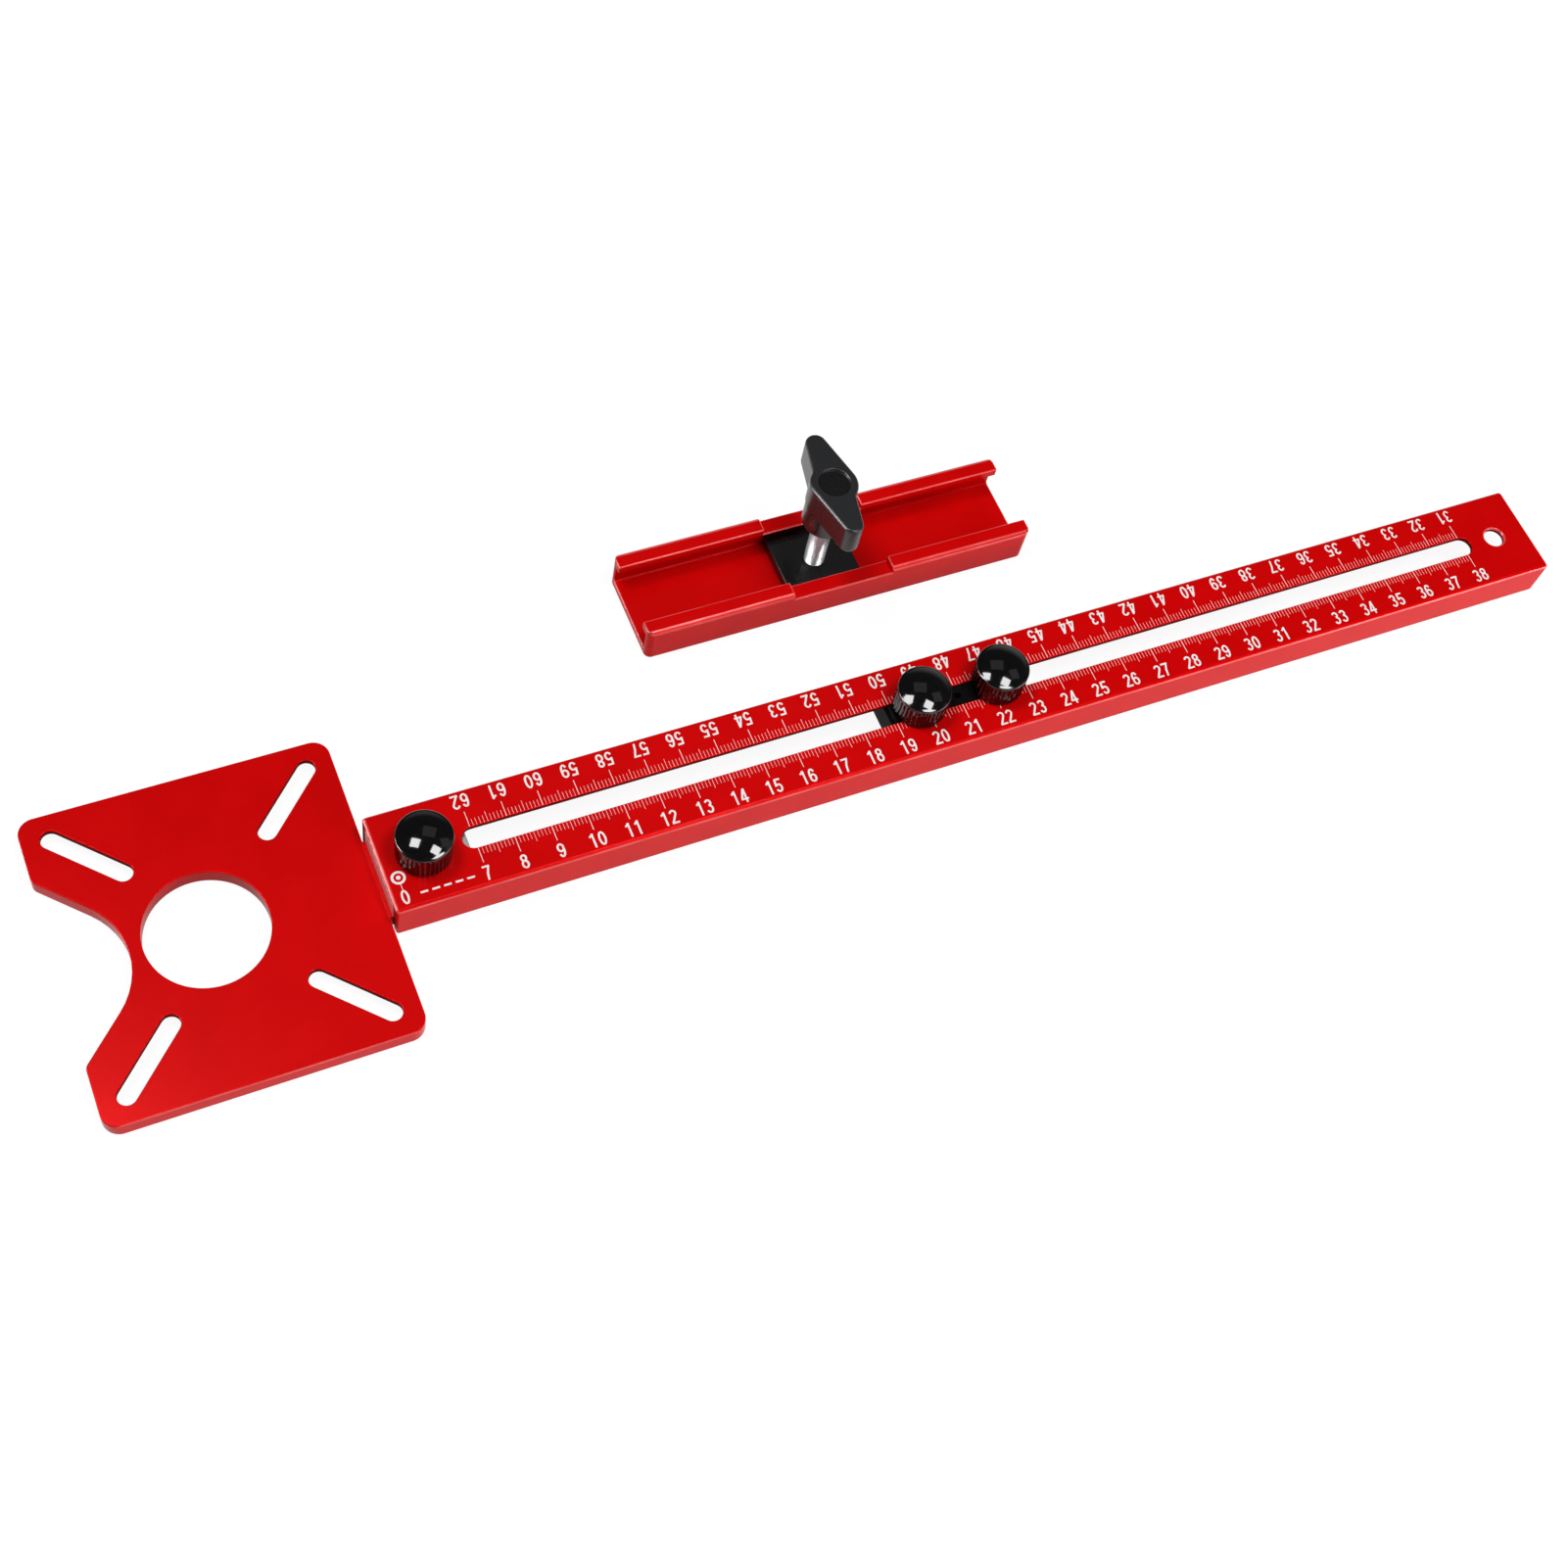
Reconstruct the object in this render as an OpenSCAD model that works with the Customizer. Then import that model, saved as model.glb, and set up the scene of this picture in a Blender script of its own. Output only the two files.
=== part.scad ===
// Router jig for circles and straight grooves: a base plate for the router, a slotted ruler arm
// with a pivot slider, and a loose edge fence that clamps under the arm with a wing screw.
// Millimetres. The bench is z = 0, and the router bit's axis is x = 0, y = 0. The arm runs along +x.

/* [Base plate] */
// Length of the plate along the arm
plate_l = 80.8; // [76:0.2:90]
// Width of the plate across the arm
plate_w = 87.4; // [80:0.2:100]
// Thickness of the plate
plate_t = 5; // [4:0.1:6]
// Radius of the plate's corners
plate_corner_r = 4.5; // [2:0.5:7]
// Distance from the bit's axis to the middle of the plate
plate_shift = 3.5; // [0:0.1:5]
// Diameter of the hole for the router bit
bit_hole_d = 32; // [24:0.5:36]
// Radius of the sight notch on the side away from the arm
notch_r = 21; // [16:0.5:24]
// Metal left between the bit hole and the sight notch
notch_web = 3.4; // [2:0.1:5]
// Rounding where the sight notch meets the plate's edge
notch_corner_r = 2.5; // [1:0.5:4]
// Width of the slanted slots for the router's screws
router_slot_w = 5; // [4:0.1:6]
// Travel of a screw along its slanted slot
router_slot_l = 20.6; // [14:0.2:22]
// Distance from the plate's edges to the outer end of a slanted slot
router_slot_inset = 7.3; // [6:0.1:9]
// Width of the counterbore under a slanted slot, for the head of a router's screw
router_head_w = 9.6; // [8:0.1:10.5]
// Thickness of the metal that a screw's head bears on
router_slot_land = 1.8; // [1.2:0.1:3]

/* [Ruler arm] */
// Length of the arm
arm_l = 358.2; // [340:0.2:400]
// Width of the arm
arm_w = 28.7; // [26:0.1:34]
// Height of the arm
arm_h = 12.4; // [11:0.1:15]
// Thickness of the arm's top wall
arm_top_t = 1.6; // [1.2:0.1:2.5]
// Thickness of the arm's side walls
arm_wall_t = 2.5; // [2:0.1:3.5]
// Chamfer along the arm's top edges
arm_chamfer = 0.7; // [0.2:0.1:1]
// Gap between the plate's edge and the end of the arm
arm_gap = 0.8; // [0.4:0.1:2]
// Width of the long slot
slot_w = 6.1; // [5.6:0.1:7]
// Distance from the arm's end to the first mark of the scale, where the slot starts
slot_lead = 25.3; // [24:0.1:30]
// Distance from the last mark of the scale, where the slot stops, to the arm's far end
slot_tail = 22.9; // [20:0.1:40]
// Diameter of the hole at each end of the arm
arm_hole_d = 6; // [5.4:0.1:7]
// Distance from the arm's near end to the hole for the lock knob's stud
lock_inset = 12; // [11:0.1:13]
// Distance from the arm's far end to its hole
arm_hole_inset = 11.2; // [10:0.1:13]

/* [Joint block] */
// Length of the block that joins the plate to the arm
block_l = 23.8; // [22:0.2:28]
// Side clearance of the block and the tongue inside the arm
block_clear = 0.25; // [0.1:0.05:0.5]
// Depth of the step that seats the block on the plate's tongue
tongue_drop = 0.4; // [0.2:0.1:1]
// Diameter of the countersunk screws under the block
screw_d = 4; // [3:0.5:4]
// Diameter of the countersunk heads
screw_head_d = 7.6; // [7:0.1:8]
// Distance from the block's middle to each countersunk screw
screw_pitch = 7; // [6:0.1:7.5]
// Length of a countersunk screw
screw_l = 9; // [7:0.5:9.5]

/* [Round knobs] */
// Diameter of a round knob
knob_d = 15; // [12:0.5:18]
// Height of a round knob's side
knob_h = 9; // [8:0.5:12]
// Number of flutes around a knob
knob_flutes = 40; // [24:2:48]
// Depth of the flutes
flute_depth = 0.35; // [0.1:0.05:0.5]
// Chamfer at the knob's top and bottom edges
knob_chamfer = 0.6; // [0.3:0.1:1]
// Height of the domed top above the knob's side
dome_h = 1.6; // [0.8:0.1:2.5]
// Diameter of a knob's threaded stud
stud_d = 5; // [4:0.5:5]
// Depth of the stud inside its knob
stud_seat = 5.5; // [4:0.5:6]
// Clearance under a knob
knob_gap = 0.1; // [0.05:0.05:0.3]
// Radial running clearance of a thread in its hole
thread_clear = 0.05; // [0.02:0.01:0.1]

/* [Pivot slider] */
// Reading of the scale at the pivot, which is the radius of the circle
pivot_reading = 210; // [100:1:340]
// Distance between the two clamp knobs
clamp_pitch = 24; // [20:0.5:30]
// Length of the slider under the arm's top wall
slider_l = 42; // [40:0.5:50]
// Height of the slider under the arm's top wall
slider_h = 7.6; // [6:0.1:9]
// Side clearance of the slider inside the arm
slider_clear = 0.35; // [0.2:0.05:0.6]
// Clearance between the slider and the arm's top wall
slider_gap = 0.15; // [0.05:0.05:0.3]
// Length of the rib that runs in the slot
rib_l = 40; // [36:0.5:40]
// Side clearance of the rib in the slot
rib_clear = 0.25; // [0.1:0.05:0.4]
// How far the rib stays below the arm's top
rib_drop = 0.2; // [0.1:0.1:0.6]
// Diameter of the pivot hole
pivot_hole_d = 2; // [1.5:0.1:3]

/* [Edge fence] */
// Length of the fence
fence_l = 119; // [100:1:150]
// Width of the fence
fence_w = 28.1; // [26:0.1:34]
// Height of the fence
fence_h = 12; // [11:0.1:15]
// Thickness of the fence's floor and walls
fence_t = 2.4; // [2:0.1:3]
// Reach of the lips, from the fence's outer face
lip_w = 4.8; // [4:0.1:6]
// Thickness of the lips
lip_t = 2.8; // [2.6:0.1:3.4]
// Rounding of the fence's four corners
fence_corner_r = 2; // [0.5:0.1:2.4]
// Chamfer along the outer edges of the lips
lip_chamfer = 0.8; // [0.3:0.1:1.2]
// Side clearance of the arm in the lips' crossing notch
crossing_clear = 0.9; // [0.3:0.1:2]
// Depth of the crossing notch
crossing_d = 2; // [1:0.1:2.2]
// Place of the fence's middle along the arm, as it lies beside the arm
fence_x = 195; // [150:1:260]
// Clear space between the arm and the fence beside it
fence_space = 29.45; // [29:0.05:60]

/* [Wing screw] */
// Thickness of the square sliding nut
nut_t = 3.8; // [3:0.1:5]
// Side clearance of the nut in the fence
nut_clear = 0.3; // [0.2:0.05:0.6]
// Clearance between the nut and the fence's floor
nut_gap = 0.1; // [0.05:0.05:0.3]
// Place of the nut along the fence, from its middle
nut_shift = -2.8; // [-30:0.1:30]
// Diameter of the wing screw's stud
wing_stud_d = 6; // [5:0.5:6]
// Depth of the stud inside the wing knob
wing_stud_seat = 9; // [6:0.5:12]
// Height of the wing knob's collar above the nut
wing_lift = 17.9; // [12:0.1:24]
// Height of the wing knob
wing_h = 17.8; // [15:0.1:22]
// Length of the wing knob across its tips
wing_l = 34; // [28:0.5:44]
// Diameter of the hub between the wings
hub_d = 13.6; // [13:0.1:16]
// Height of the wings
wing_t = 10; // [6:0.5:12]
// Rounding of the wing tips
wing_tip_r = 3; // [2:0.1:4]
// Slant of a wing's hollowed side
wing_taper = 9; // [4:0.5:12]
// Radius of the hollow where that side meets the hub
wing_hollow_r = 3; // [1.5:0.1:4]
// Diameter of the collar under the hub
collar_d = 13; // [11:0.1:13]
// Diameter of the round recess in the top
recess_d = 9; // [6:0.2:10]
// Depth of the round recess
recess_depth = 1; // [0.5:0.1:4]
// Turn of the wing knob about its stud
wing_turn = -2; // [-180:1:180]

/* [Hidden] */

$fn = 64;
arc_steps = 12;
cut = 1;
red = [0.78, 0.03, 0.05];
black = [0.09, 0.09, 0.1];
bare_metal = [0.78, 0.79, 0.8];

// Places along the arm
plate_x0 = plate_shift - plate_l / 2;
plate_x1 = plate_shift + plate_l / 2;
arm_x0 = plate_x1 + arm_gap;
arm_x1 = arm_x0 + arm_l;
lock_x = arm_x0 + lock_inset;
end_hole_x = arm_x1 - arm_hole_inset;
slot_x0 = arm_x0 + slot_lead;
slot_l = arm_l - slot_lead - slot_tail;

// Heights inside the arm
arm_inner_w = arm_w - 2 * arm_wall_t;
arm_ceiling = arm_h - arm_top_t;
tongue_w = arm_inner_w - 2 * block_clear;
tongue_l = arm_gap + block_l;
tongue_t = plate_t - tongue_drop;
knob_z = arm_h + knob_gap;
stud_end_clear = 0.5;
stud_z0 = tongue_t + stud_end_clear;
stud_l = knob_z + stud_seat - stud_z0;

// Slider
slider_w = arm_inner_w - 2 * slider_clear;
slider_z1 = arm_ceiling - slider_gap;
slider_z0 = slider_z1 - slider_h;
rib_w = slot_w - 2 * rib_clear;
rib_z1 = arm_h - rib_drop;

// Fence and wing screw
fence_y = arm_w / 2 + fence_space + fence_w / 2;
crossing_l = arm_w + 2 * crossing_clear;
nut_w = fence_w - 2 * fence_t - 2 * nut_clear;
nut_x = fence_x + nut_shift;
nut_z0 = fence_t + nut_gap;
nut_z1 = nut_z0 + nut_t;
collar_z = nut_z1 + wing_lift;
wing_z1 = collar_z + wing_h;
wing_stud_z0 = nut_z0 + stud_end_clear;

// Points of an arc about the centre c, for outlines
function arc(c, r, from, to) = [
    for (i = [0 : arc_steps])
        let (turn = from + (to - from) * i / arc_steps)
            c + r * [cos(turn), sin(turn)]
];

// Stretches a side view, drawn as y and z, along x from x0
module along_x(x0, length) {
    translate([x0, 0, 0])
        rotate([90, 0, 90])
            linear_extrude(length)
                children();
}

// A straight cut with round ends, between the points a and b, from z0 up
module slot_cut(a, b, width, z0, height) {
    heading = atan2(b.y - a.y, b.x - a.x);
    translate([0, 0, z0])
        linear_extrude(height)
            polygon(concat(
                arc(a, width / 2, heading + 90, heading + 270),
                arc(b, width / 2, heading - 90, heading + 90)
            ));
}

module round_cut(x, y, d, z0, height) {
    translate([x, y, z0])
        cylinder(d = d, h = height);
}

// Base plate outline, anticlockwise from the corner beside the tongue. The sight notch is an arc whose
// ends run out in straight flanks at 45 degrees, rounded where they meet the plate's edge.
module plate_outline() {
    corner = [plate_l / 2 - plate_corner_r, plate_w / 2 - plate_corner_r];
    notch_x = -bit_hole_d / 2 - notch_web - notch_r;
    flank_y = notch_r * sqrt(2) + notch_x - plate_x0;
    lip = [plate_x0 + notch_corner_r, flank_y + notch_corner_r * (sqrt(2) - 1)];
    middle = [plate_shift, 0];
    polygon(concat(
        arc(middle + corner, plate_corner_r, 0, 90),
        arc(middle + [-corner.x, corner.y], plate_corner_r, 90, 180),
        arc(lip, notch_corner_r, 180, 225),
        arc([notch_x, 0], notch_r, 45, -45),
        arc([lip.x, -lip.y], notch_corner_r, 135, 180),
        arc(middle - corner, plate_corner_r, 180, 270),
        arc(middle + [corner.x, -corner.y], plate_corner_r, 270, 360)
    ));
}

module router_slots() {
    outer = [plate_l / 2 - router_slot_inset, plate_w / 2 - router_slot_inset];
    inner = outer - [1, 1] * router_slot_l * cos(45);
    for (sx = [-1, 1], sy = [-1, 1])
        translate([plate_shift, 0, 0]) {
            from = [sx * inner.x, sy * inner.y];
            to = [sx * outer.x, sy * outer.y];
            slot_cut(from, to, router_slot_w, -cut, plate_t + 2 * cut);
            slot_cut(from, to, router_head_w, -cut, plate_t - router_slot_land + cut);
        }
}

module base_plate() {
    color(red)
        difference() {
            union() {
                linear_extrude(plate_t)
                    plate_outline();
                translate([plate_x1 - cut, -tongue_w / 2, 0])
                    cube([tongue_l + cut, tongue_w, tongue_t]);
            }
            round_cut(0, 0, bit_hole_d, -cut, plate_t + 2 * cut);
            router_slots();
            at_block_screws()
                screw_body(screw_clear, -cut);
        }
}

// Countersunk screws that hold the block on the tongue from beneath
screw_clear = 0.1;
screw_sink = 0.4;
head_land = 0.2;
head_h = (screw_head_d - screw_d) / 2;
drive_w = 0.9;
drive_l = 3.6;
drive_depth = 1.4;

// A countersunk screw, or the hole for it when clear is more than 0 and it starts below the plate
module screw_body(clear, z0) {
    head_r = screw_head_d / 2 + clear;
    shank_r = screw_d / 2 + clear;
    rotate_extrude()
        polygon([
            [0, z0], [head_r, z0], [head_r, screw_sink], [shank_r, screw_sink + head_h],
            [shank_r, screw_sink + screw_l], [0, screw_sink + screw_l]
        ]);
}

module at_block_screws() {
    for (side = [-1, 1])
        translate([arm_x0 + block_l / 2 + side * screw_pitch, 0, 0])
            children();
}

module block_screws() {
    color(bare_metal)
        at_block_screws()
            difference() {
                screw_body(0, screw_sink - head_land);
                for (turn = [0, 90])
                    rotate([0, 0, turn])
                        translate([-drive_l / 2, -drive_w / 2, 0])
                            cube([drive_l, drive_w, drive_depth]);
            }
}

// Bare metal block inside the end of the arm
module joint_block() {
    color(bare_metal)
        difference() {
            translate([arm_x0, -tongue_w / 2, tongue_t])
                cube([block_l, tongue_w, arm_ceiling - tongue_t]);
            round_cut(lock_x, 0, stud_d + 2 * thread_clear, tongue_t - cut, arm_h);
            at_block_screws()
                round_cut(0, 0, screw_d, tongue_t - cut, screw_sink + screw_l - tongue_t + cut);
        }
}

// Ruler arm: an upside-down channel with the long slot and a hole at each end
module arm_section() {
    half = arm_w / 2;
    inner = arm_inner_w / 2;
    polygon([
        [-half, 0], [-inner, 0], [-inner, arm_ceiling], [inner, arm_ceiling], [inner, 0], [half, 0],
        [half, arm_h - arm_chamfer], [half - arm_chamfer, arm_h],
        [arm_chamfer - half, arm_h], [-half, arm_h - arm_chamfer]
    ]);
}

module ruler_arm() {
    color(red)
        difference() {
            along_x(arm_x0, arm_l)
                arm_section();
            slot_cut([slot_x0, 0], [slot_x0 + slot_l, 0], slot_w, arm_ceiling - cut, arm_top_t + 2 * cut);
            for (x = [lock_x, end_hole_x])
                round_cut(x, 0, arm_hole_d, arm_ceiling - cut, arm_top_t + 2 * cut);
        }
}

// Round fluted knob with a domed top, standing on z = 0
module fluted_outline() {
    polygon([
        for (i = [0 : 2 * knob_flutes - 1])
            let (r = knob_d / 2 - (i % 2) * flute_depth, turn = 180 * i / knob_flutes)
                [r * cos(turn), r * sin(turn)]
    ]);
}

module knob_envelope() {
    edge = knob_d / 2;
    rim = edge - knob_chamfer;
    dome_r = (rim ^ 2 + dome_h ^ 2) / (2 * dome_h);
    polygon(concat(
        [
            [0, 0], [rim, 0], [edge + knob_chamfer, 2 * knob_chamfer],
            [edge + knob_chamfer, knob_h - 2 * knob_chamfer]
        ],
        arc([0, knob_h + dome_h - dome_r], dome_r, atan2(dome_r - dome_h, rim), 90)
    ));
}

module round_knob() {
    color(black)
        difference() {
            intersection() {
                linear_extrude(knob_h + dome_h)
                    fluted_outline();
                rotate_extrude()
                    knob_envelope();
            }
            round_cut(0, 0, stud_d, -cut, stud_seat + cut);
        }
}

module knob_stud() {
    color(bare_metal)
        cylinder(d = stud_d, h = stud_l);
}

module lock_knob() {
    translate([lock_x, 0, knob_z])
        round_knob();
}

module lock_stud() {
    translate([lock_x, 0, stud_z0])
        knob_stud();
}

module clamp_knob(side) {
    translate([pivot_reading + side * clamp_pitch / 2, 0, knob_z])
        round_knob();
}

module clamp_stud(side) {
    translate([pivot_reading + side * clamp_pitch / 2, 0, stud_z0])
        knob_stud();
}

module clamp_knob_left() {
    clamp_knob(-1);
}

module clamp_stud_left() {
    clamp_stud(-1);
}

module clamp_knob_right() {
    clamp_knob(1);
}

module clamp_stud_right() {
    clamp_stud(1);
}

// Pivot slider: a block under the arm's top wall, with a rib up into the slot.
// The rib is parted at each stud, which is nearly as wide as the slot.
module pivot_slider() {
    color(black)
        difference() {
            translate([pivot_reading, 0, 0]) {
                translate([-slider_l / 2, -slider_w / 2, slider_z0])
                    cube([slider_l, slider_w, slider_h]);
                translate([-rib_l / 2, -rib_w / 2, slider_z1 - cut])
                    cube([rib_l, rib_w, rib_z1 - slider_z1 + cut]);
            }
            for (side = [-1, 1]) {
                stud_x = pivot_reading + side * clamp_pitch / 2;
                round_cut(stud_x, 0, slot_w, slider_z1, arm_top_t + cut);
                round_cut(stud_x, 0, stud_d + 2 * thread_clear, slider_z0 - cut, arm_h);
            }
            round_cut(pivot_reading, 0, pivot_hole_d, slider_z0 - cut, arm_h);
        }
}

// Edge fence: a lipped channel that opens upwards, with a notch where the arm crosses it
module fence_section() {
    half = fence_w / 2;
    inner = half - fence_t;
    mouth = half - lip_w;
    polygon([
        [-half, 0], [half, 0], [half, fence_h - lip_chamfer], [half - lip_chamfer, fence_h],
        [mouth, fence_h], [mouth, fence_h - lip_t], [inner, fence_h - lip_t], [inner, fence_t],
        [-inner, fence_t], [-inner, fence_h - lip_t], [-mouth, fence_h - lip_t], [-mouth, fence_h],
        [lip_chamfer - half, fence_h], [-half, fence_h - lip_chamfer]
    ]);
}

module fence_outline() {
    corner = [fence_l / 2 - fence_corner_r, fence_w / 2 - fence_corner_r];
    polygon(concat(
        arc(corner, fence_corner_r, 0, 90),
        arc([-corner.x, corner.y], fence_corner_r, 90, 180),
        arc(-corner, fence_corner_r, 180, 270),
        arc([corner.x, -corner.y], fence_corner_r, 270, 360)
    ));
}

module fence_channel() {
    color(red)
        translate([fence_x, fence_y, 0])
            difference() {
                intersection() {
                    along_x(-fence_l / 2, fence_l)
                        fence_section();
                    linear_extrude(fence_h)
                        fence_outline();
                }
                translate([-crossing_l / 2, -fence_w / 2 - cut, fence_h - crossing_d])
                    cube([crossing_l, fence_w + 2 * cut, crossing_d + cut]);
            }
}

// Square nut that slides in the fence under its lips
module slide_nut() {
    color(black)
        translate([nut_x, fence_y, 0])
            difference() {
                translate([-nut_w / 2, -nut_w / 2, nut_z0])
                    cube([nut_w, nut_w, nut_t]);
                round_cut(0, 0, wing_stud_d + 2 * thread_clear, nut_z0 - cut, nut_t + 2 * cut);
            }
}

// Half of the wing knob's outline: a tip, the hollowed side of its wing and the hub's far side, which runs
// on in a tangent to the other tip
function wing_half() =
    let (
        hub_r = hub_d / 2,
        tip = [0, wing_l / 2 - wing_tip_r],
        tangent = asin((hub_r - wing_tip_r) / tip.y),
        out = [-cos(wing_taper), sin(wing_taper)],
        along = [sin(wing_taper), cos(wing_taper)],
        reach = tip * out + wing_tip_r + wing_hollow_r,
        hollow = reach * out + sqrt((hub_r + wing_hollow_r) ^ 2 - reach ^ 2) * along,
        bearing = atan2(hollow.y, hollow.x)
    )
    concat(
        arc(tip, wing_tip_r, tangent, 180 - wing_taper),
        arc(hollow, wing_hollow_r, -wing_taper, bearing - 180),
        arc([0, 0], hub_r, bearing, 180 + tangent)
    );

// Wing knob: a collar and a hub with two wings, and a round recess in the flat top
module wing_knob() {
    half = wing_half();
    color(black)
        translate([nut_x, fence_y, collar_z])
            rotate([0, 0, wing_turn])
                difference() {
                    union() {
                        cylinder(d = collar_d, h = wing_h - recess_depth);
                        translate([0, 0, wing_h - wing_t])
                            linear_extrude(wing_t)
                                polygon(concat(half, -half));
                    }
                    round_cut(0, 0, wing_stud_d, -cut, wing_stud_seat + cut);
                    round_cut(0, 0, recess_d, wing_h - recess_depth, recess_depth + cut);
                }
}

module wing_stud() {
    color(bare_metal)
        translate([nut_x, fence_y, wing_stud_z0])
            cylinder(d = wing_stud_d, h = collar_z + wing_stud_seat - wing_stud_z0);
}

base_plate();
joint_block();
block_screws();
ruler_arm();
lock_knob();
lock_stud();
pivot_slider();
clamp_knob_left();
clamp_stud_left();
clamp_knob_right();
clamp_stud_right();
fence_channel();
slide_nut();
wing_knob();
wing_stud();
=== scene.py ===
import math

import bmesh
import bpy
from mathutils import Matrix, Vector


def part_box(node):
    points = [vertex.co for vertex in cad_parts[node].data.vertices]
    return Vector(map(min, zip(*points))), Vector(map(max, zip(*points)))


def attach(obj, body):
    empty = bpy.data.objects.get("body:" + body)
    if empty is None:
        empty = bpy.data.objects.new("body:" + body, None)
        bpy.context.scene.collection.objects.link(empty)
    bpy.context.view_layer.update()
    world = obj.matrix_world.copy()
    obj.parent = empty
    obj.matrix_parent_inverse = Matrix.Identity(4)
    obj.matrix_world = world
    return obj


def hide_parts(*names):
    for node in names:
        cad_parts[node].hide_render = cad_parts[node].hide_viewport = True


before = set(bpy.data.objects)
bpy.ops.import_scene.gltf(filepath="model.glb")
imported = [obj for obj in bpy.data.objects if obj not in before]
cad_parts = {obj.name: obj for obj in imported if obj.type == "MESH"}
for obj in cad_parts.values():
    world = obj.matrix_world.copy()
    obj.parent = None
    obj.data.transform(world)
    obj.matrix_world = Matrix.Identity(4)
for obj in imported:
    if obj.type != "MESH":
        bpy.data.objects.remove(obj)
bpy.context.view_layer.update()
MM = 0.001

# Base plate: the red plate that the router stands on, with the bit hole, four slanted screw slots and a
# sight notch. It is 5 mm aluminium, milled to shape, edges broken, then blasted and anodised red.
PLATE_EDGE = 0.3 * MM
PLATE_MID_X = 3.5 * MM
# Where the plate's walls get painted shade: the bit hole in part, the slanted slots in full
BIT_HOLE_REACH = 16.5 * MM
BIT_HOLE_SHADE = 0.4
SCREW_SLOT_LEAN = 3.3 * MM
SCREW_SLOT_REACH = 7 * MM
SCREW_SLOT_END = 35.7 * MM
RED_DEEP = (0.63, 0.0013, 0.0016, 1)
RED_BRIGHT = (0.69, 0.0019, 0.0023, 1)
RED_CLOUD = 14 * MM
RED_ROUGH = (0.2, 0.24)
RED_GRAIN = 0.3 * MM
RED_GRAIN_H = 0.003 * MM
RED_GRAIN_BUMP = 0.04
BLASTED = (1, 1, 1)
# Painted highlight: a paler pink mixed into the dye, with a clear coat, on edge roundings where lamps
# gleam, uneven along the edge
RED_PAINTED_HIGHLIGHT = (0.84, 0.10, 0.095, 1)
HIGHLIGHT_COAT_ROUGH = 0.2
HIGHLIGHT_PATCH = 8 * MM
LEAST_HIGHLIGHT = 0.55
# Painted shade: a dark red, made rougher as well, on slot and hole walls and on the roundings at the foot,
# where shade falls
RED_PAINTED_SHADE = (0.16, 0.0008, 0.0010, 1)
PAINTED_SHADE_ROUGH = 0.7
# How upright a face's normal is where the face looks up, where it is a steep wall and where it is flat
LOOKS_UP = 0.1
STEEP = 0.6
FLAT = 0.99
WELD = 0.002 * MM
ONE_PLANE = math.radians(0.4)
LEAST_CORNER = math.radians(25)
SHARP_CORNER = math.radians(35)
NOISE_LOW, NOISE_HIGH = 0.3, 0.7


def cad_copy(node):
    """A bmesh of a CAD node, with its loose triangles welded and its flat faces joined up."""
    bm = bmesh.new()
    bm.from_mesh(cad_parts[node].data)
    bm.faces.layers.float.new("painted_highlight")
    bm.faces.layers.float.new("painted_shade")
    bmesh.ops.remove_doubles(bm, verts=bm.verts, dist=WELD)
    bmesh.ops.dissolve_limit(bm, angle_limit=ONE_PLANE, verts=bm.verts, edges=bm.edges)
    return bm


def corners_of(bm):
    """The outward edges that turn enough to be corners."""
    return [
        e for e in bm.edges
        if e.is_manifold and e.is_convex and e.calc_face_angle() > LEAST_CORNER
    ]


def round_off(bm, edges, radius, segments=3):
    """Rounds edges, and gives the new faces."""
    rounded = bmesh.ops.bevel(
        bm, geom=edges, offset=radius, offset_type="OFFSET", segments=segments, profile=0.5,
        affect="EDGES", material=-1, clamp_overlap=False,
    )
    bm.normal_update()
    return rounded["faces"]


def rub(bm, faces):
    """Marks those of the faces that look up for painted highlight: a paler pink and a coat where light
    gleams along an edge.
    """
    painted_highlight = bm.faces.layers.float["painted_highlight"]
    for face in faces:
        if face.normal.z > LOOKS_UP:
            face[painted_highlight] = 1


def leave_dull(bm, shade_share):
    """Marks faces for painted shade: the roundings at the foot in full, and walls by their place."""
    painted_shade = bm.faces.layers.float["painted_shade"]
    for face in bm.faces:
        if -FLAT < face.normal.z < -LOOKS_UP:
            face[painted_shade] = 1
        elif abs(face.normal.z) < STEEP:
            face[painted_shade] = shade_share(face.calc_center_median())


def new_object(bm, name):
    """An object at the origin from a bmesh."""
    mesh = bpy.data.meshes.new(name)
    bm.to_mesh(mesh)
    bm.free()
    made = bpy.data.objects.new(name, mesh)
    bpy.context.scene.collection.objects.link(made)
    return made


def new_piece(bm, name, material):
    """A finished piece from a bmesh: round where it is rounded, flat where it is flat."""
    piece = new_object(bm, name)
    piece.data.shade_smooth()
    piece.data.set_sharp_from_angle(angle=SHARP_CORNER)
    piece.data.materials.append(material)
    flats = piece.modifiers.new("Flat faces", "WEIGHTED_NORMAL")
    flats.weight = 100
    flats.keep_sharp = True
    return piece


def new_material(name, metallic, specular):
    """A material with its node tree and shader."""
    material = bpy.data.materials.new(name)
    material.use_nodes = True
    tree = material.node_tree
    shader = tree.nodes["Principled BSDF"]
    shader.inputs["Metallic"].default_value = metallic
    shader.inputs["Specular IOR Level"].default_value = specular
    return material, tree, shader


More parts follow.
